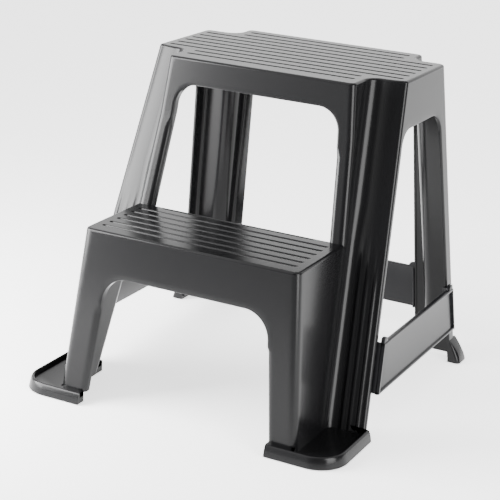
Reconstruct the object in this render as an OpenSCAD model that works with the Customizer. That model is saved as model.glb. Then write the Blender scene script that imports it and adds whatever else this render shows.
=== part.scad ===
/* [Stool] */
// Height of the upper tread above the floor
stool_h = 430; // [400:1:460]
// Height of the lower tread above the floor
step_h = 231.5; // [220:0.5:240]
// Thickness of the moulded walls
wall = 3; // [2.6:0.1:3.6]
// Thickness of both tread plates
tread_t = 4; // [3.6:0.1:5]

/* [Upper tread] */
// Half width across the side ears
ear_half = 183; // [176:1:190]
// Half width of the front and rear aprons
apron_half = 135; // [130:1:140]
// Front face of the front apron
apron_front = -29; // [-34:1:-26]
// Rear face of the rear apron
apron_rear = 204; // [200:1:208]
// Front face of the side ears
ear_front = 23; // [20:1:26]
// Rear face of the side ears
ear_rear = 164; // [160:1:166]

/* [Legs] */
// Sideways splay of the side walls for each millimetre of drop
splay = 0.09; // [0.07:0.005:0.1]
// Forward lean of the front ears
front_lean = 0.352; // [0.33:0.002:0.36]
// Backward lean of the rear ears
rear_lean = 0.1; // [0.09:0.005:0.11]
// Backward lean of the rear apron and the legs below it
apron_rear_lean = 0.06; // [0.05:0.005:0.065]
// Forward lean of the front apron
apron_lean = 0.13; // [0.11:0.01:0.15]
// Forward lean of the upper front legs below the apron
upper_leg_lean = 0.24; // [0.23:0.005:0.25]
// Drop from the tread to the bend between apron and leg
bend_drop = 75; // [60:1:90]
// Height of the rear leg ends above the floor
rear_leg_gap = 5; // [3:0.5:8]

/* [Lower step] */
// Half width of the lower tread
step_half = 151.8; // [146:0.1:158]
// Front face of the lower step at its tread
step_front = -198; // [-204:1:-190]
// Forward lean of the lower step's front
step_lean = 0.11; // [0.09:0.005:0.12]

/* [Openings] */
// Height of the arch between the upper front legs
upper_arch_z = 395.5; // [385:0.5:400]
// Half width of the upper arches at their top
upper_arch_half = 119; // [112:1:122]
// Height of the arch in the lower step's front
lower_arch_z = 174; // [165:1:180]
// Half width of the lower arch at its top
lower_arch_half = 120; // [112:1:122]
// Height of the arch in each side
side_arch_z = 367.5; // [355:0.5:375]
// Corner radius of the arches
arch_r = 30; // [24:1:36]
// Width of the front leg's side strip
front_strip = 14; // [12:1:18]
// Width of the rear leg's side strip
rear_strip = 24; // [20:1:28]
// Depth of the flanges turned in along the front openings
flange_depth = 12; // [8:1:14]

/* [Treads] */
// Spacing of the upper tread's grooves
upper_pitch = 20.4; // [19:0.1:21]
// Spacing of the lower tread's grooves
lower_pitch = 17.6; // [16.5:0.1:18]
// Width of a groove
groove_w = 5; // [2:0.1:6]
// Depth of a groove
groove_deep = 1.8; // [1:0.1:2]

/* [Feet] */
// Height of the rim around each front foot
foot_rim_h = 16; // [12:1:20]
// Radius of the front foot's outer corner
foot_r = 40; // [30:1:44]
// Height of the flare on each rear foot
flare_h = 32; // [24:1:40]
// Height of the rubber pads
pad_h = 6; // [5:0.5:7]
// Outer side of the front feet
foot_x = 232; // [228:0.5:236]
// Front edge of the front feet
foot_y = -235; // [-238:0.5:-230]

/* [Braces] */
// Bottom edge of the braces
brace_z = 53; // [48:1:60]
// Height of the braces
brace_h = 62; // [54:1:68]
// Distance from a leg's side to the outside of a side brace's panel
brace_proud = 6.5; // [5:0.5:8]
// How far the top and bottom lips stand out of a panel
brace_lip = 3; // [2:0.5:4]
// Height of the ears at the ends of a brace
brace_ear_h = 6; // [4:1:10]

/* [Hidden] */

overlap = 0.5;
arc_steps = 4;
apron_corner_r = 8;
ear_corner_r = 9;
ear_front_r = 5;
ear_slant = 5;
face_steps = 3;
notch_r_max = 18;
step_corner_r = 10;
floor_gap = 1;
upper_arch_slope = 0.07;
rear_arch_slope = 0.065;
rear_arch_extra = 6;
lower_arch_slope = 0.09;
flare_out = 15.5;
flare_power = 1.8;
flare_side = 6;
rib_w = 2;
upper_rib_h = 22;
upper_rib_x = 61;
lower_rib_h = 26;
lower_rib_x = 77;
brace_gap = 0.5;
rear_brace_back = 1.5;
leg_w = 38.5;
rim_slope = 4;
cut_far = 400;

// Body faces at height z, as coordinates in the stool's frame
function drop(z) = stool_h - z;
function ear_x(z) = ear_half + splay * drop(z);
function apron_x(z) = apron_half + splay * drop(z);
function ear_front_y(z) = ear_front - front_lean * drop(z);
function ear_rear_y(z) = ear_rear + rear_lean * drop(z);
function apron_rear_y(z) = apron_rear + apron_rear_lean * drop(z);
function upper_front_y(z) = apron_front - apron_lean * min(drop(z), bend_drop)
    - upper_leg_lean * max(drop(z) - bend_drop, 0);
function apron_front_y(z) = z > step_h ? upper_front_y(z)
    : ear_front_y(z) + upper_front_y(step_h) - ear_front_y(step_h);
function step_x(z) = step_half + splay * (step_h - z);
function step_front_y(z) = step_front - step_lean * (step_h - z);

function arc(cx, cy, r, a0, a1) = [for (i = [0:arc_steps])
    let (a = a0 + (a1 - a0) * i / arc_steps) [cx + r * cos(a), cy + r * sin(a)]];

// Points between p and q that leave p along X and bend away towards q
function slanted(p, q) = [for (i = [1:face_steps - 1])
    let (f = i / face_steps) [p[0] + (q[0] - p[0]) * f, p[1] + (q[1] - p[1]) * f * f]];

function mirrored(half) = [for (i = [len(half) - 1:-1:0]) [-half[i][0], half[i][1]]];

function both_halves(half) = concat(half, mirrored(half));

// Cross-shaped outline of the upper tread and legs, inset by t
function cross_outline(z, t) = let (
    a = apron_x(z) - t,
    b = ear_x(z) - t,
    yf = apron_front_y(z) + t,
    ye = ear_front_y(z) + t,
    yq = ear_rear_y(z) - t,
    yr = apron_rear_y(z) - t,
    rc = max(apron_corner_r - t, 1),
    re = max(ear_corner_r - t, 1),
    rs = max(ear_front_r - t, 1),
    rf = min(notch_r_max + t, ye - yf - rc - 0.5),
    rr = min(notch_r_max + t, yr - yq - rc - 0.5))
    both_halves(concat(
        arc(a - rc, yf + rc, rc, -90, 0),
        arc(a + rf, ye - rf, rf, 180, 90),
        slanted([a + rf, ye], [b - rs, ye + ear_slant]),
        arc(b - rs, ye + rs + ear_slant, rs, -90, 0),
        arc(b - re, yq - re, re, 0, 90),
        arc(a + rr, yq + rr, rr, 270, 180),
        arc(a - rc, yr - rc, rc, 0, 90)));

// Outline of the lower step, flaring into the front ears, inset by t
function step_outline(z, t) = let (
    w = step_x(z) - t,
    yf = step_front_y(z) + t,
    ye = ear_front_y(z) + t,
    rc = max(step_corner_r - t, 1),
    rn = notch_r_max + t)
    both_halves(concat(
        arc(w - rc, yf + rc, rc, -90, 0),
        arc(w + rn, ye - rn, rn, 180, 90),
        [[w + rn, ye + wall], [w - wall, ye + wall + 1]]));

// Solid that joins outlines of equal length, one at each height
module loft(levels, outlines) {
    n = len(outlines[0]);
    last = len(levels) - 1;
    points = [for (k = [0:last]) for (p = outlines[k]) [p[0], p[1], levels[k]]];
    sides = [for (k = [0:last - 1]) for (i = [0:n - 1])
        let (j = (i + 1) % n, a = k * n + i, b = k * n + j)
        each [[a, a + n, b], [b, a + n, b + n]]];
    bottom = [for (i = [0:n - 1]) i];
    top = [for (i = [n - 1:-1:0]) last * n + i];
    polyhedron(points, concat([bottom, top], sides));
}

module cross_loft(t, z0, z1) {
    levels = [z0, step_h, drop(bend_drop), z1];
    loft(levels, [for (z = levels) cross_outline(z, t)]);
}

module step_loft(t, z0, z1) {
    levels = [z0, z1];
    loft(levels, [for (z = levels) step_outline(z, t)]);
}

// Arch of half width half_top at its top, wider by slope below, as a polygon in the
// plane of its wall, from z0 up to z1
module arch(half_top, slope, z0, z1, r, grow = 0) {
    w1 = half_top + grow;
    w0 = half_top + slope * (z1 - z0) + grow;
    zt = z1 + grow;
    rt = r + grow;
    right = concat([[w0, z0]], arc(w1 - rt, zt - rt, rt, 0, 90));
    polygon(both_halves(right));
}

// Places a polygon drawn in X and Z as a prism from y0 to y1
module along_y(y0, y1) {
    translate([0, y1, 0]) rotate([90, 0, 0]) linear_extrude(y1 - y0) children();
}

// Places a polygon drawn in Y and Z as a prism from x0 to x1
module along_x(x0, x1) {
    translate([x0, 0, 0]) rotate([90, 0, 90]) linear_extrude(x1 - x0) children();
}

module upper_front_arch(grow = 0) {
    arch(upper_arch_half, upper_arch_slope, step_h, upper_arch_z, arch_r, grow);
}

module rear_arch(grow = 0) {
    arch(upper_arch_half + rear_arch_extra, rear_arch_slope, -1, upper_arch_z, arch_r, grow);
}

module lower_arch(grow = 0) {
    arch(lower_arch_half, lower_arch_slope, -1, lower_arch_z, arch_r + 6, grow);
}

// Opening between a front and a rear leg, seen from the side
module side_arch() {
    z1 = side_arch_z;
    y0 = ear_front_y(z1) + front_strip;
    y1 = ear_rear_y(z1) - rear_strip;
    yb0 = ear_front_y(-1) + front_strip;
    yb1 = ear_rear_y(-1) - rear_strip;
    polygon(concat([[yb0, -1], [yb1, -1]],
        arc(y1 - arch_r, z1 - arch_r, arch_r, 0, 90),
        arc(y0 + arch_r - 6, z1 - arch_r, arch_r, 90, 170)));
}

// Flange turned in along the edge of the upper front opening
module upper_flanges() {
    intersection() {
        difference() {
            cross_loft(wall - overlap, floor_gap, stool_h - tread_t);
            cross_loft(wall + flange_depth, floor_gap - 1, stool_h);
        }
        along_y(-cut_far, 60) difference() {
            upper_front_arch(wall);
            upper_front_arch();
        }
    }
}

module lower_flanges() {
    intersection() {
        difference() {
            step_loft(wall - overlap, floor_gap, step_h - tread_t);
            step_loft(wall + flange_depth, floor_gap - 1, step_h);
        }
        along_y(-cut_far, -120) difference() {
            lower_arch(wall);
            lower_arch();
        }
    }
}

// Groove across a tread at y with rounded ends, half long on each side of the middle
module groove(y, half, z) {
    hull() {
        for (x = [-half, half]) {
            translate([x, y, z - groove_deep]) cylinder(d = groove_w, h = groove_deep + 1, $fn = 12);
        }
    }
}

module upper_grooves() {
    mid = (ear_front + ear_rear) / 2 + 8;
    for (i = [-5:5]) {
        y = mid + i * upper_pitch;
        in_ears = y > ear_front + 12 && y < ear_rear - 2;
        groove(y, in_ears ? ear_half - 10 : apron_half - 12, stool_h);
    }
}

module lower_grooves() {
    first = upper_front_y(step_h) - 1;
    for (i = [0:6]) {
        groove(first - i * lower_pitch, i == 0 ? 112 : step_half - 12, step_h);
    }
}

// Ribs under a tread at x = 0 and x = +/- offset, from y0 to y1
module tread_ribs(z, deep, offset, y0, y1) {
    for (x = [-offset, 0, offset]) {
        translate([x - rib_w / 2, y0, z - deep]) cube([rib_w, y1 - y0, deep]);
    }
}

// Outline of a front foot: a strip in front of the leg and a D-shaped field outside it,
// set back by t from its outer edge and by inner from its other edges
function front_foot_outline(t, inner = 0) = let (
    x0 = step_x(0) - leg_w + inner,
    xm = step_x(0) - wall + inner,
    x1 = foot_x - t,
    y0 = foot_y + t,
    ym = step_front_y(0) + wall - inner,
    y1 = ear_front_y(0) + ear_slant + wall / 2 - inner,
    r = foot_r - t)
    concat([[x0, y0]], arc(x1 - r, y0 + r, r, -90, 0), [[x1, y1], [xm, y1], [xm, ym], [x0, ym]]);

function rear_foot_outline(z, t) = let (
    f = (flare_h - z) / flare_h,
    x1 = ear_x(z) + flare_out * (1 - pow(1 - f, flare_power)) - t,
    y1 = ear_rear_y(z) + 1 - t,
    y0 = ear_rear_y(z) - rear_strip - flare_side * f + t,
    x0 = ear_x(z) - wall / 2,
    c = min((x1 - x0) / 3, flare_side))
    [[x0, y0], [x1 - c, y0], [x1, y0 + c], [x1, y1 - c], [x1 - c, y1], [x0, y1]];

// Field outside the leg only, as wide as the pad under it
function front_pad_outline(t) = let (
    x0 = step_x(0) + t,
    x1 = foot_x - t,
    y0 = foot_y + t,
    y1 = ear_front_y(0) - t,
    r = foot_r - t)
    concat([[x0, y0]], arc(x1 - r, y0 + r, r, -90, 0), [[x1, y1], [x0, y1]]);

module front_foot() {
    difference() {
        loft([floor_gap, foot_rim_h], [front_foot_outline(0), front_foot_outline(rim_slope)]);
        loft([pad_h + wall, foot_rim_h + 1],
            [front_foot_outline(wall + 2), front_foot_outline(wall + rim_slope)]);
        linear_extrude(pad_h) polygon(front_pad_outline(wall + 1));
    }
}

module rear_foot() {
    levels = [floor_gap, flare_h / 4, flare_h / 2, flare_h];
    difference() {
        loft(levels, [for (z = levels) rear_foot_outline(z, 0)]);
        linear_extrude(rear_leg_gap) polygon(rear_foot_outline(rear_leg_gap, wall + 1));
    }
}

module shell_outer() {
    union() {
        cross_loft(0, floor_gap, stool_h);
        step_loft(0, floor_gap, step_h);
    }
}

module stool_body() {
    color([0.09, 0.09, 0.1]) {
        difference() {
            shell_outer();
            cross_loft(wall, floor_gap - 1, stool_h - tread_t);
            step_loft(wall, floor_gap - 1, step_h - tread_t);
            along_y(-cut_far, 60) upper_front_arch();
            along_y(100, cut_far) rear_arch();
            along_y(-cut_far, -120) lower_arch();
            along_x(-cut_far, cut_far) side_arch();
            translate([-cut_far, 0, -1]) cube([2 * cut_far, cut_far, rear_leg_gap + 1]);
            upper_grooves();
            lower_grooves();
        }
        upper_flanges();
        lower_flanges();
        tread_ribs(stool_h - tread_t + overlap, upper_rib_h, upper_rib_x, apron_front + 2 * wall, apron_rear - wall);
        tread_ribs(step_h - tread_t + overlap, lower_rib_h, lower_rib_x, step_front + wall, upper_front_y(step_h) - 1);
        for (side = [0, 1]) {
            mirror([side, 0, 0]) {
                front_foot();
                rear_foot();
            }
        }
    }
}

// Panel with a lip along its top and bottom, a return at each end and a raised ear above
// each return. The corners are drawn flat: x along the panel, y up, z outward.
module brace_panel(bottom_left, bottom_right, top_left, top_right, return_deep) {
    ear_w = 12;
    edge = 3;
    left_edge = [bottom_left, [bottom_left[0] + edge, 0], [top_left[0] + edge, brace_h],
        top_left];
    right_edge = [[bottom_right[0] - edge, 0], bottom_right, top_right,
        [top_right[0] - edge, brace_h]];
    linear_extrude(wall) polygon([bottom_left, bottom_right, top_right, top_left]);
    for (y = [0, brace_h - edge]) {
        x0 = y == 0 ? bottom_left[0] : top_left[0];
        x1 = y == 0 ? bottom_right[0] : top_right[0];
        translate([x0, y, 0]) cube([x1 - x0, edge, wall + brace_lip]);
    }
    translate([0, 0, -return_deep]) linear_extrude(return_deep + wall) polygon(left_edge);
    translate([0, 0, -return_deep]) linear_extrude(return_deep + wall) polygon(right_edge);
    for (x = [top_left[0], top_right[0] - ear_w]) {
        translate([x, brace_h - edge, 0]) cube([ear_w, brace_ear_h + edge, wall]);
    }
}

module right_side_brace() {
    z1 = brace_z + brace_h;
    tilt = atan(splay);
    y0b = ear_front_y(brace_z) + front_strip + brace_gap;
    y0t = ear_front_y(z1) + front_strip + brace_gap;
    y1b = ear_rear_y(brace_z) - rear_strip - brace_gap;
    y1t = ear_rear_y(z1) - rear_strip - brace_gap;
    translate([ear_x(brace_z) + brace_proud - wall, 0, brace_z])
        rotate([90, 0, 90]) rotate([-tilt, 0, 0])
        brace_panel([y0b, 0], [y1b, 0], [y0t, brace_h], [y1t, brace_h],
            brace_proud + wall);
}

module left_brace() {
    color([0.11, 0.11, 0.12]) mirror([1, 0, 0]) right_side_brace();
}

module right_brace() {
    color([0.11, 0.11, 0.12]) right_side_brace();
}

module rear_brace() {
    half_b = upper_arch_half + rear_arch_extra + rear_arch_slope * (upper_arch_z - brace_z)
        - brace_gap;
    half_t = half_b - rear_arch_slope * brace_h;
    tilt = atan(apron_rear_lean);
    color([0.11, 0.11, 0.12])
        translate([0, apron_rear_y(brace_z) + brace_proud - rear_brace_back - wall, brace_z])
        rotate([90, 0, 180]) rotate([-tilt, 0, 0])
        brace_panel([-half_b, 0], [half_b, 0], [-half_t, brace_h], [half_t, brace_h],
            brace_proud + wall - rear_brace_back);
}

module pad(h, outline) {
    color([0.05, 0.05, 0.05]) linear_extrude(h) polygon(outline);
}

module front_pad() {
    pad(pad_h, front_pad_outline(wall + 1));
}

module rear_pad() {
    pad(rear_leg_gap, rear_foot_outline(rear_leg_gap, wall + 1));
}

module front_left_foot_pad() {
    mirror([1, 0, 0]) front_pad();
}

module front_right_foot_pad() {
    front_pad();
}

module rear_left_foot_pad() {
    mirror([1, 0, 0]) rear_pad();
}

module rear_right_foot_pad() {
    rear_pad();
}

stool_body();
left_brace();
right_brace();
rear_brace();
front_left_foot_pad();
front_right_foot_pad();
rear_left_foot_pad();
rear_right_foot_pad();
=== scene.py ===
# %% [markdown]
# # A moulded two-step stool
# The real stool is one large injection moulding with three braces clipped between its legs
# and rubber pads under its feet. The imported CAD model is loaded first, because every piece
# here has to sit where the CAD says.

# %% Load the frame
import math

import bmesh
import bpy
from mathutils import Matrix, Vector


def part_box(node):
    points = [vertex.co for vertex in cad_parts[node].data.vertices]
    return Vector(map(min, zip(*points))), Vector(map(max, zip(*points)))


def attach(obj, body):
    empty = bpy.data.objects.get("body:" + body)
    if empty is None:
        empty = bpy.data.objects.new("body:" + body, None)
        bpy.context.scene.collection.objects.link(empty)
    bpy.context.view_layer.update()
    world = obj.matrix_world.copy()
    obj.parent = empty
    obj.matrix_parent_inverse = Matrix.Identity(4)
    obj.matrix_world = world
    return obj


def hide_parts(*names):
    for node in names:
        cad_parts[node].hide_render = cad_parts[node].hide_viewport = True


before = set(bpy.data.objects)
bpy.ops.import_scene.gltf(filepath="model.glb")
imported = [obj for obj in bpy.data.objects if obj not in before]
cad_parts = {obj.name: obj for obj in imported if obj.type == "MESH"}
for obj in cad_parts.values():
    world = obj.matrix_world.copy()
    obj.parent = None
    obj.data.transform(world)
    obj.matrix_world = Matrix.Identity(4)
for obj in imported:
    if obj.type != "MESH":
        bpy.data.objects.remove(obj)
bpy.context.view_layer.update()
MM = 0.001
print("CAD nodes:", sorted(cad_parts))

# %% [markdown]
# ## The stool's planes
# A mould designer draws such a stool as a few leaning planes: the sides splay, the front legs
# reach forward and the rear legs lean back a little. Each plane is a function of the height z,
# in millimetres, so every wall, fillet and opening below can ask where it is.

# %% Heights and planes
TOP_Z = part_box("stool_body")[1][2] / MM
STEP_Z = 231.5
BEND_DROP = 75
BEND_Z = TOP_Z - BEND_DROP
WALL = 3.0
SPLAY = 0.09
EAR_HALF = 183
APRON_HALF = 135
EAR_FRONT = 23
EAR_FRONT_LEAN = 0.352
EAR_REAR = 164
EAR_REAR_LEAN = 0.1
APRON_FRONT = -29
APRON_LEAN = 0.13
UPPER_LEG_LEAN = 0.24
APRON_REAR = 204
APRON_REAR_LEAN = 0.06
STEP_FRONT = -198
STEP_LEAN = 0.11


def drop(z):
    """How far z lies below the top of the stool."""
    return TOP_Z - z


def ear_x(z):
    return EAR_HALF + SPLAY * drop(z)


def apron_x(z):
    return APRON_HALF + SPLAY * drop(z)


def ear_front_y(z):
    return EAR_FRONT - EAR_FRONT_LEAN * drop(z)


def ear_rear_y(z):
    return EAR_REAR + EAR_REAR_LEAN * drop(z)


def apron_rear_y(z):
    return APRON_REAR + APRON_REAR_LEAN * drop(z)


def upper_front_y(z):
    """The front apron's plane, which leans further below the bend."""
    above = min(drop(z), BEND_DROP)
    below = max(drop(z) - BEND_DROP, 0)
    return APRON_FRONT - APRON_LEAN * above - UPPER_LEG_LEAN * below


def step_front_y(z):
    return STEP_FRONT - STEP_LEAN * (STEP_Z - z)


print("tread heights:", round(STEP_Z), round(TOP_Z), "mm")

# %% [markdown]
# ## Small mesh helpers
# Every wall is a grid of points: some columns around the stool, some rows down it. A helper
# adds such a grid to a bmesh, and another turns the finished bmesh into an object. Points are
# in millimetres until the last moment.

# %% Mesh helpers
def arc(cx, cy, r, start, end, steps):
    points = []
    for i in range(steps + 1):
        angle = math.radians(start + (end - start) * i / steps)
        points.append((cx + r * math.cos(angle), cy + r * math.sin(angle)))
    return points


def line(a, b, steps):
    return [tuple(p + (q - p) * i / steps for p, q in zip(a, b)) for i in range(steps + 1)]


def spread(low, high, steps):
    return [low + (high - low) * i / steps for i in range(steps + 1)]


def join(*paths):
    joined = list(paths[0])
    for path in paths[1:]:
        joined += path[1:]
    return joined


def add_grid(bm, rows):
    made = [[bm.verts.new(Vector(point) * MM) for point in row] for row in rows]
    for upper, lower in zip(made, made[1:]):
        for i in range(len(upper) - 1):
            bm.faces.new((upper[i], upper[i + 1], lower[i + 1], lower[i]))


def add_loft(bm, rings, cap=True):
    made = [[bm.verts.new(Vector(point) * MM) for point in ring] for ring in rings]
    count = len(made[0])
    for upper, lower in zip(made, made[1:]):
        for i in range(count):
            j = (i + 1) % count
            bm.faces.new((upper[i], upper[j], lower[j], lower[i]))
    if cap:
        bm.faces.new(made[0])
        bm.faces.new(reversed(made[-1]))


def mirror_x(bm):
    copied = bmesh.ops.duplicate(bm, geom=bm.verts[:] + bm.edges[:] + bm.faces[:])["geom"]
    for element in copied:
        if isinstance(element, bmesh.types.BMVert):
            element.co.x = -element.co.x
    bmesh.ops.reverse_faces(bm, faces=[f for f in copied if isinstance(f, bmesh.types.BMFace)])


def merge(bm, distance=0.02):
    bmesh.ops.remove_doubles(bm, verts=bm.verts[:], dist=distance * MM)
    bmesh.ops.dissolve_degenerate(bm, edges=bm.edges[:], dist=distance * MM)


def shade(mesh, smooth_angle):
    """Smooth shading, with a sharp edge wherever two faces meet at more than the angle."""
    mesh.shade_smooth()
    mesh.set_sharp_from_angle(angle=math.radians(smooth_angle))


def link_object(name, data):
    obj = bpy.data.objects.new(name, data)
    bpy.context.collection.objects.link(obj)
    return obj


def make_object(name, bm, smooth_angle=40):
    mesh = bpy.data.meshes.new(name)
    bm.to_mesh(mesh)
    bm.free()
    shade(mesh, smooth_angle)
    return link_object(name, mesh)


def apply_modifiers(obj, smooth_angle):
    graph = bpy.context.evaluated_depsgraph_get()
    mesh = bpy.data.meshes.new_from_object(obj.evaluated_get(graph))
    obj.modifiers.clear()
    obj.data = mesh
    shade(mesh, smooth_angle)
    return obj


def add_modifier(obj, kind, **settings):
    modifier = obj.modifiers.new(kind.title(), kind)
    for key, value in settings.items():
        setattr(modifier, key, value)
    return modifier


# %% [markdown]
# ## Columns round the legs
# Seen from above, each leg wall is a chain: a rounded apron corner, a notch, a fillet, the
# beaded face of the ear, and a rounded outer corner. The beads are what stiffens such a thin
# leg. Each function gives one stretch of that chain at a height z, so stretches can be chosen
# and joined where the stool needs them.

# %% Chains of points round a leg
APRON_R = 8.0
EAR_R = 9.0
EAR_FRONT_R = 5.0
STEP_R = 10.0
EAR_SLANT = 5.0
BEADS = 3
BEAD_H = 1.3
BEAD_FADE_Z = STEP_Z + 20
BEAD_FADE = 90
EAR_COLUMNS = 42
CORNER_STEPS = 8
FILLET_STEPS = 10
NOTCH_R_MAX = 18.0
NOTCH_FLAT = 0.5
STEP_FILLET_R = 13.0


def notch_r(depth):
    """Radius of the fillet in a notch: as large as its depth leaves room for."""
    return min(NOTCH_R_MAX, depth - APRON_R - NOTCH_FLAT)


def front_fillet_r(z):
    return notch_r(ear_front_y(z) - upper_front_y(z)) if z > STEP_Z else STEP_FILLET_R


def rear_fillet_r(z):
    return notch_r(apron_rear_y(z) - ear_rear_y(z))


def smooth(value):
    t = max(0.0, min(1.0, value))
    return t * t * (3 - 2 * t)


def bead(part, z):
    """Height of the stiffening beads, which fade out above the lower step."""
    wave = 0.5 - 0.5 * math.cos(2 * math.pi * BEADS * part)
    return BEAD_H * wave ** 2 * smooth((BEAD_FADE_Z - z) / BEAD_FADE)


def upper_notch_chain(z):
    a, yf, r = apron_x(z), upper_front_y(z), APRON_R
    end = (a, ear_front_y(z) - front_fillet_r(z))
    return join(arc(a - r, yf + r, r, -90, 0, CORNER_STEPS), line((a, yf + r), end, 3))


def step_side_chain(z):
    a, yf, r = apron_x(z), step_front_y(z), STEP_R
    end = (a, ear_front_y(z) - front_fillet_r(z))
    return join(arc(a - r, yf + r, r, -90, 0, CORNER_STEPS), line((a, yf + r), end, 16))


def ear_front_chain(z):
    a, b, ye, rf = apron_x(z), ear_x(z), ear_front_y(z), front_fillet_r(z)
    fillet = arc(a + rf, ye - rf, rf, 180, 90, FILLET_STEPS)
    start = a + rf
    width = b - EAR_FRONT_R - start
    face = []
    for i in range(EAR_COLUMNS + 1):
        part = i / EAR_COLUMNS
        face.append((start + width * part, ye + EAR_SLANT * part * part - bead(part, z)))
    r = EAR_FRONT_R
    corner = arc(b - r, ye + r + EAR_SLANT, r, -90, 0, CORNER_STEPS)
    return join(fillet, face, corner)


def ear_rear_chain(z):
    a, b, yq, rr = apron_x(z), ear_x(z), ear_rear_y(z), rear_fillet_r(z)
    corner = arc(b - EAR_R, yq - EAR_R, EAR_R, 0, 90, CORNER_STEPS)
    face = line((b - EAR_R, yq), (a + rr, yq), 6)
    return join(corner, face, arc(a + rr, yq + rr, rr, 270, 180, FILLET_STEPS))


def rear_notch_chain(z):
    a, yr, r = apron_x(z), apron_rear_y(z), APRON_R
    start = (a, ear_rear_y(z) + rear_fillet_r(z))
    return join(line(start, (a, yr - r), 3), arc(a - r, yr - r, r, 0, 90, CORNER_STEPS))


def loft_chain(bm, chain, rows):
    add_grid(bm, [[(x, y, z) for x, y in chain(z)] for z in rows])


# %% [markdown]
# ## Faces with an arched opening
# Each side of the stool is a plane with an arch cut out of it. Such a face is a bent strip: one
# edge follows the opening, the other follows the outside, and both have the same number of
# points. The opening's edge is rolled inwards on a small radius, as the mould rolls it, and
# runs on as a flange. The outer points use the same heights as the leg chains, so the seams
# between strips and chains close when doubles are merged.

# %% Strips round an opening
ROLL_R = 2.5
WIDE_ROLL_R = 7.0
ROLL_CHANGE = 5
ROLL_STEPS = 6
TIGHT_ALL_ROUND = -100
EDGE_R = 3.4
TOP_SPREAD = 0.72
SHELL_TOP = TOP_Z - EDGE_R
STEP_SHELL_TOP = STEP_Z - EDGE_R


def rolled_edge(r, depth):
    """Offsets from an opening's edge: how far back from it, and how deep behind the face."""
    roll = [(r * (1 - math.sin(t)), r * (1 - math.cos(t)))
            for t in spread(0, math.pi / 2, ROLL_STEPS)]
    return roll + [(0, r + (depth - r) * i / 2) for i in (1, 2)]


def roll_r(z, wide_below):
    """Radius of an opening's edge: tight in the arch, wide below the height wide_below."""
    return ROLL_R + (WIDE_ROLL_R - ROLL_R) * smooth((wide_below - z) / ROLL_CHANGE)


def edge_normals(path, towards):
    normals = []
    for i in range(len(path)):
        before = path[max(i - 1, 0)]
        after = path[min(i + 1, len(path) - 1)]
        along = Vector((after[0] - before[0], after[1] - before[1])).normalized()
        normals.append(Vector((-along.y, along.x)) * towards)
    return normals


def opening_strip(bm, paths, towards, place, across, depth, wide_below=TIGHT_ALL_ROUND):
    """paths are outer and inner, in the face's plane. place(u, z, deep) gives the 3-D point."""
    outer, inner = paths
    normals = edge_normals(inner, towards)
    rows = []
    for (uo, zo), (ui, zi), n in zip(outer, inner, normals):
        r = roll_r(zi, wide_below)
        back_u = ui - n.x * r
        back_z = zi - n.y * r
        row = []
        for i in range(across):
            t = i / across
            row.append(place(uo + (back_u - uo) * t, zo + (back_z - zo) * t, 0))
        for back, deep in rolled_edge(r, depth):
            row.append(place(ui - n.x * back, zi - n.y * back, deep))
        rows.append(row)
    add_grid(bm, rows)


def arch_half(half_top, z_top, radius, slope, outer_x, rows, z_outer_top, flat_steps=14):
    """Outer and inner paths of half a face: up the leg, round the arch, in to the middle."""
    spring = z_top - radius
    low = [z for z in rows if z <= spring]
    high = [z for z in rows if z > spring]
    inner = [(half_top + slope * (spring - z), z) for z in low]
    outer = [(outer_x(z), z) for z in low]
    turn = arc(half_top - radius, spring, radius, 0, 90, 2 * len(high))
    inner += turn[1:len(high) + 1]
    outer += [(outer_x(z), z) for z in high]
    corner_x = outer_x(z_outer_top)
    rest = turn[len(high) + 1:]
    flat = line(turn[-1], (0, z_top), flat_steps)[1:]
    inner += rest + flat
    top = line((corner_x, z_outer_top), (corner_x * TOP_SPREAD, z_outer_top), len(rest))[1:]
    outer += top + line(top[-1], (0, z_outer_top), flat_steps)[1:]
    return outer, inner


# %% [markdown]
# ## The upper shell
# The chains and strips are put together for the right half, mirrored, merged, and given their
# wall thickness. One list of heights serves all of them.

# %% Build the upper shell
FLOOR_GAP = 1.0
REAR_GAP = 5.0
FRONT_ARCH = {"half_top": 119, "z_top": 395.5, "radius": 30, "slope": 0.0857}
REAR_ARCH = {"half_top": 125, "z_top": 395.5, "radius": 30, "slope": 0.0703}
SIDE_ARCH_Z = 367.5
SIDE_ARCH_R = 30.0
SIDE_ARCH_FRONT = 39
SIDE_ARCH_REAR = 116.25
FRONT_STRIP = 14
REAR_STRIP = 24
FLANGE = 12
SHORT_FLANGE = 4
UPPER_WIDE_BELOW = 345
rows_top = spread(BEND_Z, SHELL_TOP, 12)
rows_leg = spread(STEP_SHELL_TOP, BEND_Z, 20)
rows_low = spread(FLOOR_GAP, STEP_SHELL_TOP, 36)
rows_upper = join(rows_leg, rows_top)
rows_all = join(rows_low, rows_upper)
rows_rear = [REAR_GAP] + [z for z in rows_all if z > REAR_GAP]


def front_place(u, z, deep):
    return (u, upper_front_y(z) + deep, z)


def rear_place(u, z, deep):
    return (u, apron_rear_y(z) - deep, z)


def side_place(u, z, deep):
    return (ear_x(z) - deep, u, z)


def step_place(u, z, deep):
    return (u, step_front_y(z) + deep, z)


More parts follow.
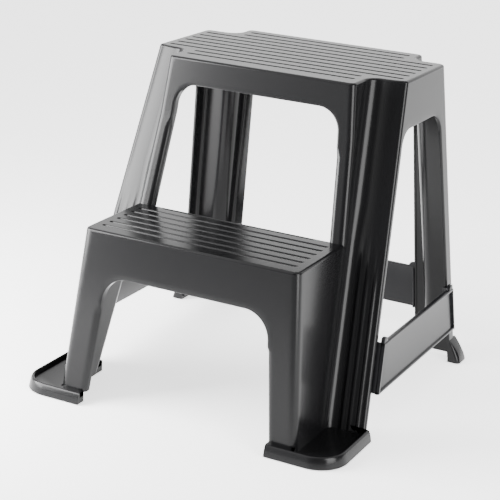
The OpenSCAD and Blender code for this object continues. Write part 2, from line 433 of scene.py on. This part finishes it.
def side_paths():
    """Outer and inner paths round the opening between a front and a rear leg."""
    spring = SIDE_ARCH_Z - SIDE_ARCH_R
    low = [z for z in rows_all if z <= spring]
    low_rear = [z for z in rows_rear if z <= spring]
    high = [z for z in rows_all if z > spring]
    front_turn = arc(SIDE_ARCH_FRONT, spring, SIDE_ARCH_R, 170, 90, 2 * len(high))
    rear_turn = arc(SIDE_ARCH_REAR, spring, SIDE_ARCH_R, 90, 0, 2 * len(high))
    below_floor = -1
    foot_front = (ear_front_y(below_floor) + FRONT_STRIP, below_floor)
    foot_rear = (ear_rear_y(below_floor) - REAR_STRIP, below_floor)

    def on_line(a, b, z):
        return (a[0] + (b[0] - a[0]) * (z - a[1]) / (b[1] - a[1]), z)

    def outer_front(z):
        return (ear_front_y(z) + EAR_FRONT_R + EAR_SLANT, z)

    def outer_rear(z):
        return (ear_rear_y(z) - EAR_R, z)

    inner = [on_line(foot_front, front_turn[0], z) for z in low]
    outer = [outer_front(z) for z in low]
    n = len(high)
    inner += front_turn[1:n + 1]
    outer += [outer_front(z) for z in high]
    middle = join(front_turn[n:], line(front_turn[-1], rear_turn[0], 8), rear_turn[:n + 1])
    inner += middle[1:]
    outer += line(outer_front(SHELL_TOP), outer_rear(SHELL_TOP), len(middle) - 1)[1:]
    inner += rear_turn[n + 1:]
    outer += [outer_rear(z) for z in reversed(high)]
    inner += [on_line(foot_rear, rear_turn[-1], z) for z in reversed(low_rear)]
    outer += [outer_rear(z) for z in reversed(low_rear)]
    return outer, inner


def apron_edge(z):
    """Where a front or rear face ends and the apron's rounded corner begins."""
    return apron_x(z) - APRON_R


def build_upper_shell():
    bm = bmesh.new()
    loft_chain(bm, upper_notch_chain, rows_upper)
    loft_chain(bm, ear_front_chain, rows_all)
    loft_chain(bm, ear_rear_chain, rows_rear)
    loft_chain(bm, rear_notch_chain, rows_rear)
    front = arch_half(outer_x=apron_edge, rows=rows_upper, z_outer_top=SHELL_TOP, **FRONT_ARCH)
    opening_strip(bm, front, 1, front_place, 8, FLANGE, UPPER_WIDE_BELOW)
    rear = arch_half(outer_x=apron_edge, rows=rows_rear, z_outer_top=SHELL_TOP, **REAR_ARCH)
    opening_strip(bm, rear, 1, rear_place, 8, SHORT_FLANGE)
    opening_strip(bm, side_paths(), -1, side_place, 6, SHORT_FLANGE)
    mirror_x(bm)
    merge(bm, 0.2)
    bmesh.ops.recalc_face_normals(bm, faces=bm.faces[:])
    return bm


upper = build_upper_shell()
print("upper shell faces:", len(upper.faces))

# %% [markdown]
# ## The lower step's shell
# The lower step is the same idea, smaller: a front face with its own arch, a rounded corner,
# and a side wall that runs back to the fillet of the front leg. It has a mesh of its own, but it
# meets that fillet without a gap, because the real moulding has no joint there. The front face
# starts a little above the floor, where the foot's tray takes over.

# %% Build the lower shell
LOWER_ARCH = {"half_top": 120, "z_top": 174, "radius": 36, "slope": 0.1133}
LOWER_WIDE_BELOW = 132
rows_step = rows_low[2:]


def step_edge(z):
    """Where the step's front face ends and its rounded corner begins."""
    return apron_x(z) - STEP_R


def build_lower_shell():
    bm = bmesh.new()
    loft_chain(bm, step_side_chain, rows_low)
    front = arch_half(outer_x=step_edge, rows=rows_step, z_outer_top=STEP_SHELL_TOP, **LOWER_ARCH)
    opening_strip(bm, front, 1, step_place, 8, FLANGE, LOWER_WIDE_BELOW)
    mirror_x(bm)
    merge(bm)
    bmesh.ops.recalc_face_normals(bm, faces=bm.faces[:])
    return bm


def face_outwards(bm, probe):
    """Turns a shell round if its face nearest the probe point looks inwards."""
    near = min(bm.faces, key=lambda f: (f.calc_center_median() - probe).length)
    if near.normal.dot(probe) < 0:
        bmesh.ops.reverse_faces(bm, faces=bm.faces[:])


def finish_shell(name, bm, probe):
    """Gives a shell its wall thickness. The probe is a point outside its front."""
    face_outwards(bm, Vector(probe) * MM)
    obj = make_object(name, bm)
    add_modifier(obj, "SOLIDIFY", thickness=WALL * MM, offset=-1)
    return apply_modifiers(obj, 50)


upper_shell = finish_shell("upper_shell", upper, (0, -29, 412))
lower_shell = finish_shell("lower_shell", build_lower_shell(), (0, -205, 200))
print("shell faces:", len(upper_shell.data.polygons), len(lower_shell.data.polygons))

# %% [markdown]
# ## Treads
# A tread is a flat plate with narrow grooves pressed into it, so that shoes grip and water
# runs off. The plate is a grid whose columns are squeezed against the tread's outline, with
# extra rows across each groove. The edge rolls down onto the walls.

# %% Build the tread plates
GROOVE_HALF = 3.0
GROOVE_DEEP = 2.8
GROOVE_WALL = 1.4
ACROSS_GROOVE = (0, 0.55, 0.7, 0.85, 1, 1.15)
ALONG_GROOVE_END = (-0.2, 0, 0.15, 0.3, 0.5, 0.75, 1, 1.4)
ROW_STEP = 6
COLUMN_STEP = 8
UPPER_PITCH = 20.4
UPPER_MIDDLE = 101.5
UPPER_GROOVE_HALF = 173
NOTCHED_GROOVE_HALF = 123
NOTCHES = (35, 162)
LOWER_PITCH = 17.6
LOWER_REAR_GROOVE = -69.4
LOWER_GROOVE_HALF = 140
LOWER_REAR_GROOVE_HALF = 112
STEP_BACK = -64
STEP_BACK_R = 6
RIM_STEPS = 5
RIM_OVERLAP = 0.4
PLATE_OVERLAP = 0.2
SKIRT = 1.5


def groove_depth(x, y, grooves):
    """Depth of the tread at a point: each groove is a round channel with round ends."""
    depth = 0.0
    for centre, half in grooves:
        past_end = max(0.0, abs(x) - (half - GROOVE_HALF))
        off = math.hypot(y - centre, past_end) / GROOVE_HALF
        depth = max(depth, GROOVE_DEEP * smooth((1 - off) * GROOVE_WALL))
    return depth


def tread_rows(y0, y1, grooves, key_rows):
    """Places of the grid's rows: even ones between the grooves, and several across each."""
    rows = set(round(y, 3) for y in spread(y0, y1, int((y1 - y0) / ROW_STEP)))
    clear = GROOVE_HALF * 1.4
    rows = set(y for y in rows if all(abs(y - centre) > clear for centre, _ in grooves))
    for centre, _ in grooves:
        for t in ACROSS_GROOVE:
            rows |= set(round(centre + side * GROOVE_HALF * t, 3) for side in (-1, 1))
    rows |= set(round(y, 3) for y in key_rows)
    return sorted(y for y in rows if y0 <= y <= y1)


def tread_columns(half, grooves):
    columns = set(round(x, 3) for x in spread(0, half, int(half / COLUMN_STEP)))
    for _, end in grooves:
        columns |= set(round(end - GROOVE_HALF * t, 3) for t in ALONG_GROOVE_END)
    right = sorted(columns)
    return [-x for x in reversed(right[1:])] + right


def half_width(outline, y):
    """Half width of an outline at y. Its points run from front to back."""
    widest = 0.0
    for (xa, ya), (xb, yb) in zip(outline, outline[1:]):
        if ya <= y <= yb:
            part = (y - ya) / (yb - ya) if yb > ya else 0
            widest = max(widest, xa + (xb - xa) * part, xb if yb == ya else 0)
    return widest if widest else outline[-1][0]


def inset(loop, by):
    """A closed loop moved inwards by a distance."""
    normals = edge_normals([loop[-1]] + loop + [loop[0]], 1)[1:-1]
    return [(x + n.x * by, y + n.y * by) for (x, y), n in zip(loop, normals)]


def add_rolled_rim(bm, loop, z):
    """The plate's edge, rolled over from its flat top down to a short skirt."""
    rings = [[(x, y, z) for x, y in inset(loop, EDGE_R + RIM_OVERLAP)]]
    for t in spread(0, math.pi / 2, RIM_STEPS):
        down = EDGE_R * (1 - math.cos(t))
        rings.append([(x, y, z - down) for x, y in inset(loop, EDGE_R * (1 - math.sin(t)))])
    rings.append([(x, y, z - EDGE_R - SKIRT) for x, y in loop])
    add_loft(bm, rings, cap=False)


def build_tread(name, z, outline, grooves):
    """A grooved plate over half an outline and its mirror image, with a rolled rim."""
    bm = bmesh.new()
    loop = outline + [(-x, y) for x, y in reversed(outline)]
    flat = inset(loop, EDGE_R + PLATE_OVERLAP)[:len(outline)]
    ys = [y for _, y in flat]
    rows = tread_rows(ys[0], ys[-1], grooves, ys + [y + 0.02 for y in ys])
    columns = tread_columns(max(x for x, _ in flat), grooves)
    grid = []
    for y in rows:
        half = half_width(flat, y)
        xs = [max(-half, min(half, x)) for x in columns]
        grid.append([(x, y, z - groove_depth(x, y, grooves)) for x in xs])
    add_grid(bm, grid)
    merge(bm, 0.01)
    bmesh.ops.recalc_face_normals(bm, faces=bm.faces[:])
    face_outwards(bm, Vector((0, 0, z)) * MM)
    add_rolled_rim(bm, loop, z)
    return make_object(name, bm, 60)


upper_grooves = []
for i in range(-5, 6):
    y = UPPER_MIDDLE + UPPER_PITCH * i
    full_width = NOTCHES[0] < y < NOTCHES[1]
    upper_grooves.append((y, UPPER_GROOVE_HALF if full_width else NOTCHED_GROOVE_HALF))
lower_grooves = [(LOWER_REAR_GROOVE, LOWER_REAR_GROOVE_HALF)]
lower_grooves += [(LOWER_REAR_GROOVE - LOWER_PITCH * i, LOWER_GROOVE_HALF) for i in range(1, 7)]
top_outline = upper_notch_chain(SHELL_TOP) + ear_front_chain(SHELL_TOP)
top_outline += ear_rear_chain(SHELL_TOP) + rear_notch_chain(SHELL_TOP)
side = [(x, y) for x, y in step_side_chain(STEP_SHELL_TOP) if y < STEP_BACK - 8]
back_corner = arc(side[-1][0] - STEP_BACK_R, STEP_BACK - STEP_BACK_R, STEP_BACK_R, 0, 90, 6)
step_outline = side + back_corner
upper_tread = build_tread("upper_tread", TOP_Z, top_outline, upper_grooves)
lower_tread = build_tread("lower_tread", STEP_Z, step_outline, lower_grooves)
print("grooves:", len(upper_grooves), len(lower_grooves))

# %% [markdown]
# ## Feet
# A front foot is a shallow tray moulded round the bottom of the leg: a skirt, a rounded rim and
# a sunken floor, with a solid shelf in front of the leg. The tray's profile is a list of points,
# each a height and how far in from the outer edge. A rear foot is only a flare on the outside
# of the leg. Both are lofts through rings that have the same number of points.

# %% Build the feet
FOOT_X = 232.0
FOOT_Y = -235.0
FOOT_R = 40.0
FOOT_IN = 37.7
RIM_W = 5.9
SHELF_TOP = 15.9
SHELF_LOW = 9
TRAY = [(1, 0), (8, 1.4), (13.2, 2.9), (14.8, 3.7), (15.7, 4.7), (16, 5.9), (15.6, 7),
        (14.4, 7.7), (11, 8.6), (9.6, 9.4), (9, 11)]
FLARE_H = 32.0
FLARE_OUT = 15.5
FLARE_POWER = 1.8
FLARE_SIDE = 6


def front_foot_ring(z, t):
    """One ring of the tray, t in from its outer edge."""
    inner_x = apron_x(0) - WALL
    inner_y = step_front_y(0) + WALL
    x0, x1, y0 = apron_x(0) - FOOT_IN, FOOT_X - t, FOOT_Y + t
    back = ear_front_y(0) + EAR_SLANT + 1
    r = FOOT_R - t
    ring = [(x0, y0)] + arc(x1 - r, y0 + r, r, -90, 0, 14)
    ring += [(x1, back), (inner_x, back), (inner_x, inner_y), (x0, inner_y)]
    return [(x, y, z) for x, y in ring]


def rear_foot_ring(z):
    """One ring of the flare, which widens towards the floor."""
    low = (FLARE_H - z) / FLARE_H
    x0, x1 = ear_x(z) - 2, ear_x(z) + FLARE_OUT * (1 - (1 - low) ** FLARE_POWER) + 0.3
    y0, y1 = ear_rear_y(z) - REAR_STRIP - FLARE_SIDE * low, ear_rear_y(z) + 0.6
    r = min(6.0, (x1 - x0) / 2.2)
    ring = [(x0, y0)] + arc(x1 - r, y0 + r, r, -90, 0, 6) + arc(x1 - r, y1 - r, r, 0, 90, 6)
    return [(x, y, z) for x, y in ring + [(x0, y1)]]


def build_feet():
    bm = bmesh.new()
    add_loft(bm, [front_foot_ring(z, t) for z, t in reversed(TRAY)])
    x0, x1 = apron_x(0) - FOOT_IN, apron_x(0) - 6
    y0, y1 = FOOT_Y + RIM_W, step_front_y(0) + WALL
    shelf = [(x0, y0), (x1, y0), (x1, y1), (x0, y1)]
    add_loft(bm, [[(x, y, z) for x, y in shelf] for z in (SHELF_TOP, SHELF_LOW)])
    heights = [1] + spread(3, FLARE_H, 9)
    add_loft(bm, [rear_foot_ring(z) for z in reversed(heights)])
    mirror_x(bm)
    bmesh.ops.recalc_face_normals(bm, faces=bm.faces[:])
    return make_object("feet", bm, 50)


feet = build_feet()
print("feet:", [round(size / MM) for size in feet.dimensions], "mm")

# %% [markdown]
# ## Ribs under the treads
# Straight ribs carry the load across the underside of each tread. They repeat, so one small
# Geometry Nodes tree places them: a line of points, a box on each, and the plastic on all.

# %% Grow the ribs
RIB_W = 2
RIBS = 3
RIB_TOP = 3.5


def socket_id(tree, name):
    return next(item.identifier for item in tree.interface.items_tree if item.name == name)


def build_rib_tree(material):
    tree = bpy.data.node_groups.new("tread_ribs", "GeometryNodeTree")
    face = tree.interface
    face.new_socket("Count", in_out="INPUT", socket_type="NodeSocketInt")
    face.new_socket("Spacing", in_out="INPUT", socket_type="NodeSocketFloat")
    face.new_socket("First", in_out="INPUT", socket_type="NodeSocketVector")
    face.new_socket("Size", in_out="INPUT", socket_type="NodeSocketVector")
    face.new_socket("Geometry", in_out="OUTPUT", socket_type="NodeSocketGeometry")
    nodes, links = tree.nodes, tree.links
    entry = nodes.new("NodeGroupInput")
    row = nodes.new("GeometryNodeMeshLine")
    step = nodes.new("ShaderNodeCombineXYZ")
    box = nodes.new("GeometryNodeMeshCube")
    place = nodes.new("GeometryNodeInstanceOnPoints")
    real = nodes.new("GeometryNodeRealizeInstances")
    paint = nodes.new("GeometryNodeSetMaterial")
    leave = nodes.new("NodeGroupOutput")
    paint.inputs["Material"].default_value = material
    links.new(entry.outputs["Count"], row.inputs["Count"])
    links.new(entry.outputs["Spacing"], step.inputs["X"])
    links.new(step.outputs["Vector"], row.inputs["Offset"])
    links.new(entry.outputs["First"], row.inputs["Start Location"])
    links.new(entry.outputs["Size"], box.inputs["Size"])
    links.new(row.outputs["Mesh"], place.inputs["Points"])
    links.new(box.outputs["Mesh"], place.inputs["Instance"])
    links.new(place.outputs["Instances"], real.inputs["Geometry"])
    links.new(real.outputs["Geometry"], paint.inputs["Geometry"])
    links.new(paint.outputs["Geometry"], leave.inputs["Geometry"])
    return tree


def grow_ribs(name, tree, spacing, y0, y1, z_top, deep):
    """A row of ribs centred on the stool's middle plane."""
    obj = link_object(name, bpy.data.meshes.new(name))
    modifier = add_modifier(obj, "NODES", node_group=tree)
    values = {
        "Count": RIBS,
        "Spacing": spacing * MM,
        "First": Vector((-spacing, (y0 + y1) / 2, z_top - deep / 2)) * MM,
        "Size": Vector((RIB_W, y1 - y0, deep)) * MM,
    }
    for key, value in values.items():
        modifier[socket_id(tree, key)] = value
    bpy.context.view_layer.update()
    return apply_modifiers(obj, 30)


# %% [markdown]
# ## Braces
# A brace is a shallow channel: a flat panel with a lip along its top and its bottom for
# stiffness. Behind each end a return drops inside the leg, and a small ear stands above it.
# The channel's section is drawn once and carried from one slanted end to the other.

# %% Build the three braces
BRACE_Z = 53.0
BRACE_H = 62.0
LIP = 3.0
LIP_OUT = 6.0
BRACE_EAR_W = 12.0
BRACE_EAR_H = 6.0
SECTION_R = 1.3
LIP_RISE = 0.6
SIDE_PROUD = 6.5
REAR_PROUD = 5
SIDE_DEEP = 9.5
REAR_DEEP = 8
REAR_HALF_LOW = 146.8
REAR_HALF_HIGH = 142.7
BRACE_OVERHANG = 0.5
BRACE_EDGE = 0.9


def brace_section():
    """Closed section, as (outwards, up) from the panel's back at its bottom edge."""
    low = [(0, 0)] + arc(LIP_OUT - SECTION_R, SECTION_R, SECTION_R, -90, 0, 4)
    low += arc(LIP_OUT - SECTION_R, LIP - SECTION_R + LIP_RISE, SECTION_R, 0, 90, 4)
    low += arc(WALL + SECTION_R, LIP + LIP_RISE + SECTION_R, SECTION_R, 270, 180, 4)
    high = [(out, BRACE_H - up) for out, up in reversed(low)]
    return low + high


def build_brace(name, low_a, low_b, high_a, high_b, deep, place):
    """The brace runs from low_a and high_a to low_b and high_b, and thins at both ends."""
    bm = bmesh.new()
    middle = [(part, 1) for part in [0.012] + spread(0.1, 0.9, 8) + [0.988]]
    rings = []
    for part, full in [(0, 0.73), (0.004, 0.925)] + middle + [(0.996, 0.925), (1, 0.73)]:
        ring = []
        for out, up in brace_section():
            a = low_a + (high_a - low_a) * up / BRACE_H
            b = low_b + (high_b - low_b) * up / BRACE_H
            ring.append(place(a + (b - a) * part, up, (out - WALL / 2) * full + WALL / 2))
        rings.append(ring)
    add_loft(bm, rings)
    for end, lean, side in ((low_a, high_a - low_a, 1), (low_b, high_b - low_b, -1)):
        add_return(bm, end, lean, side, deep, place)
    bmesh.ops.recalc_face_normals(bm, faces=bm.faces[:])
    obj = make_object(name, bm, 40)
    add_modifier(obj, "BEVEL", width=BRACE_EDGE * MM, segments=3, limit_method="ANGLE",
        angle_limit=math.radians(50))
    return apply_modifiers(obj, 50)


def add_return(bm, end, lean, side, deep, place):
    """A return behind one end of a brace, and the ear that stands above it."""
    def at(along, up, out):
        return place(end + lean * up / BRACE_H + along * side, up, out)

    top = BRACE_H + BRACE_EAR_H
    plate = [(0, 0.5), (LIP, 0.5), (LIP, BRACE_H - 0.5), (0, BRACE_H - 0.5)]
    ear = [(0, BRACE_H - 4), (BRACE_EAR_W + 3, BRACE_H - 4), (BRACE_EAR_W, BRACE_H + 1),
           (BRACE_EAR_W * 0.75, top - 0.8), (BRACE_EAR_W * 0.5, top), (1.5, top), (0, top - 1.5)]
    for outline, out0, out1 in ((plate, -deep, LIP_OUT), (ear, 0.2, LIP_OUT - 1)):
        add_loft(bm, [[at(along, up, out) for along, up in outline] for out in (out0, out1)])


def side_brace_place(side):
    def place(u, up, out):
        x = ear_x(BRACE_Z) + SIDE_PROUD - WALL - SPLAY * up + out
        return (x * side, u, BRACE_Z + up)
    return place


def rear_brace_place(u, up, out):
    y = apron_rear_y(BRACE_Z) + REAR_PROUD - WALL - APRON_REAR_LEAN * up + out
    return (u, y, BRACE_Z + up)


def side_span(z):
    """Where a side brace starts and ends, just past the edges of the opening."""
    return ear_front_y(z) + FRONT_STRIP + BRACE_OVERHANG, ear_rear_y(z) - REAR_STRIP - BRACE_OVERHANG


low_front, low_rear = side_span(BRACE_Z)
high_front, high_rear = side_span(BRACE_Z + BRACE_H)
side_ends = (low_front, low_rear, high_front, high_rear)
rear_ends = (-REAR_HALF_LOW, REAR_HALF_LOW, -REAR_HALF_HIGH, REAR_HALF_HIGH)
left_brace = build_brace("left_brace_moulding", *side_ends, SIDE_DEEP, side_brace_place(-1))
right_brace = build_brace("right_brace_moulding", *side_ends, SIDE_DEEP, side_brace_place(1))
rear_brace = build_brace("rear_brace_moulding", *rear_ends, REAR_DEEP, rear_brace_place)
for brace in (left_brace, right_brace, rear_brace):
    print(brace.name, [round(size / MM) for size in brace.dimensions])

# %% [markdown]
# ## Materials
# Everything is the same black polypropylene, polished in the mould on the body and a little
# duller on the braces. A fine ripple breaks up the reflections. The pads are matt rubber.

# %% Materials
PLASTIC_IOR = 1.29
RIPPLE_DEEP = 0.0004


def linear(value):
    """Turns an sRGB value into a linear one."""
    return value / 12.92 if value <= 0.04045 else ((value + 0.055) / 1.055) ** 2.4


def colour(code):
    return [linear(int(code[i:i + 2], 16) / 255) for i in (0, 2, 4)] + [1]


def add_node(tree, kind, settings=None, **links):
    node = tree.nodes.new(kind)
    for key, value in (settings or {}).items():
        if key in node.inputs:
            node.inputs[key].default_value = value
        else:
            setattr(node, key, value)
    for key, source in links.items():
        tree.links.new(source, node.inputs[key.replace("_", " ")])
    return node


def plastic(name, code, roughness, ripple_mm, ripple):
    """A plain plastic or rubber whose surface ripples over a few millimetres."""
    material = bpy.data.materials.new(name)
    material.use_nodes = True
    tree = material.node_tree
    shader = tree.nodes["Principled BSDF"]
    shader.inputs["Base Color"].default_value = colour(code)
    shader.inputs["Roughness"].default_value = roughness
    shader.inputs["IOR"].default_value = PLASTIC_IOR
    where = add_node(tree, "ShaderNodeTexCoord")
    noise = add_node(tree, "ShaderNodeTexNoise", {"Scale": 1000 / ripple_mm, "Detail": 2.0},
        Vector=where.outputs["Object"])
    bump = add_node(tree, "ShaderNodeBump", {"Strength": ripple, "Distance": RIPPLE_DEEP},
        Height=noise.outputs["Fac"])
    tree.links.new(bump.outputs["Normal"], shader.inputs["Normal"])
    return material


# Gloss black polypropylene, as it leaves a polished mould.
body_plastic = plastic("gloss_black_polypropylene", "0e0e0f", 0.22, 14, 0.04)
# The same polypropylene from a duller mould.
brace_plastic = plastic("satin_black_polypropylene", "141416", 0.26, 9, 0.06)
# Soft black rubber.
pad_rubber = plastic("matt_black_rubber", "141414", 0.8, 2, 0.4)

rib_tree = build_rib_tree(body_plastic)
upper_ribs = grow_ribs("upper_tread_ribs", rib_tree, 61, -23, 201, TOP_Z - RIB_TOP, 22)
lower_ribs = grow_ribs("lower_tread_ribs", rib_tree, 77, -195, -82, STEP_Z - RIB_TOP, 26)
print("materials:", sorted(material.name for material in bpy.data.materials))

# %% [markdown]
# ## Join the pieces to the CAD
# Every piece is hung under the root body and given its finish, and the CAD node it stands for is
# hidden. The pads keep their CAD shape and only change material.

BODY_PIECES = [upper_shell, lower_shell, upper_tread, lower_tread, feet, upper_ribs, lower_ribs]
for piece in BODY_PIECES:
    piece.data.materials.clear()
    piece.data.materials.append(body_plastic)
    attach(piece, "root")
    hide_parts("stool_body")
for piece, node in ((left_brace, "left_brace"), (right_brace, "right_brace"),
                    (rear_brace, "rear_brace")):
    piece.data.materials.append(brace_plastic)
    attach(piece, "root")
    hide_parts(node)
for name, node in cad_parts.items():
    if name.endswith("foot_pad"):
        for slot in node.material_slots:
            slot.material = pad_rubber
print("body pieces:", len(BODY_PIECES))

# %% [markdown]
# ## Studio
# Black gloss plastic has almost no colour of its own: it shows the room. So the room is drawn
# with light: a white paper floor, a softbox on each side, and a world that is darker towards
# the front right, which keeps the right leg dark.

# %% Floor, lights and world
FLOOR_HALF = 14
FLOOR_PLACE = (0.224, -0.468, 0)
FLOOR_TURN = 26.9
FLOOR_GLOW = 1.7
WORLD_LIGHT = 2.3
DARK_SHARE = 0.12
DARK_TURN = -1.7


def build_floor():
    """White paper that glows under and behind the stool, and fades out towards the camera."""
    bm = bmesh.new()
    bmesh.ops.create_grid(bm, x_segments=1, y_segments=1, size=FLOOR_HALF)
    floor = make_object("studio_floor", bm)
    floor.location = FLOOR_PLACE
    floor.rotation_euler = (0, 0, math.radians(FLOOR_TURN))
    paper = bpy.data.materials.new("white_paper")
    paper.use_nodes = True
    tree = paper.node_tree
    shader = tree.nodes["Principled BSDF"]
    shader.inputs["Base Color"].default_value = colour("fafafa")
    shader.inputs["Roughness"].default_value = 0.9
    shader.inputs["Specular IOR Level"].default_value = 0.1
    shader.inputs["Emission Color"].default_value = colour("ffffff")
    where = add_node(tree, "ShaderNodeTexCoord")
    axes = add_node(tree, "ShaderNodeSeparateXYZ", Vector=where.outputs["Object"])
    glow = add_node(tree, "ShaderNodeMapRange",
        {"From Min": -0.3, "From Max": 0.4, "To Min": 0.0, "To Max": FLOOR_GLOW},
        Value=axes.outputs["Y"])
    tree.links.new(glow.outputs["Result"], shader.inputs["Emission Strength"])
    floor.data.materials.append(paper)
    return floor


def add_softbox(name, place, aim, width, height, brightness):
    """A rectangular area light. Its power follows from its brightness and its area."""
    data = bpy.data.lights.new(name, "AREA")
    data.shape = "RECTANGLE"
    data.size = width
    data.size_y = height
    data.energy = brightness * math.pi * width * height
    lamp = link_object(name, data)
    lamp.location = place
    lamp.rotation_euler = (Vector(aim) - Vector(place)).to_track_quat("-Z", "Y").to_euler()
    return lamp


def build_world(strength):
    """An even white room, but dimmer where Y - 1.7 X is low, at the front right."""
    world = bpy.data.worlds.new("white_studio")
    bpy.context.scene.world = world
    world.use_nodes = True
    tree = world.node_tree
    shade = tree.nodes["Background"]
    where = add_node(tree, "ShaderNodeTexCoord")
    axes = add_node(tree, "ShaderNodeSeparateXYZ", Vector=where.outputs["Generated"])
    turned = add_node(tree, "ShaderNodeMath", {"operation": "MULTIPLY"})
    turned.inputs[1].default_value = DARK_TURN
    tree.links.new(axes.outputs["X"], turned.inputs[0])
    side = add_node(tree, "ShaderNodeMath", {"operation": "ADD"})
    tree.links.new(turned.outputs["Value"], side.inputs[0])
    tree.links.new(axes.outputs["Y"], side.inputs[1])
    ramp = add_node(tree, "ShaderNodeMapRange",
        {"From Min": -0.85, "From Max": 0.05, "To Min": DARK_SHARE * strength, "To Max": strength},
        Value=side.outputs["Value"])
    tree.links.new(ramp.outputs["Result"], shade.inputs["Strength"])
    shade.inputs["Color"].default_value = colour("ffffff")
    return world


build_floor()
add_softbox("left_softbox", (-0.85, -0.6, 0.5), (-0.1, 0, 0.3), 0.7, 0.9, 32)
add_softbox("right_strip", (1.1, -0.45, 0.5), (0.1, 0, 0.25), 0.6, 0.9, 12)
build_world(WORLD_LIGHT)

# %% [markdown]
# ## Camera
# A long lens from the front right, a little above the top tread, with a slight roll.

# %% Camera
CAMERA_PLACE = (878.7, -1761.3, 847.1)
CAMERA_AIM = (43.3, -114.0, 216.4)
CAMERA_ROLL = 2.81
CAMERA_LENS = 110.46
SENSOR_WIDTH = 36


def build_camera():
    data = bpy.data.cameras.new("camera")
    data.sensor_width = SENSOR_WIDTH
    data.lens = CAMERA_LENS
    place = Vector(CAMERA_PLACE) * MM
    aim = Vector(CAMERA_AIM) * MM
    roll = math.radians(CAMERA_ROLL)
    back = (place - aim).normalized()
    right = Vector((0, 0, 1)).cross(back).normalized()
    up = back.cross(right)
    side = right * math.cos(roll) + up * math.sin(roll)
    top = up * math.cos(roll) - right * math.sin(roll)
    camera = link_object("camera", data)
    turn = Matrix((side, top, back)).transposed().to_4x4()
    camera.matrix_world = Matrix.Translation(place) @ turn
    bpy.context.scene.camera = camera
    return camera


camera = build_camera()
print("camera distance:", round(camera.location.length, 2), "m")
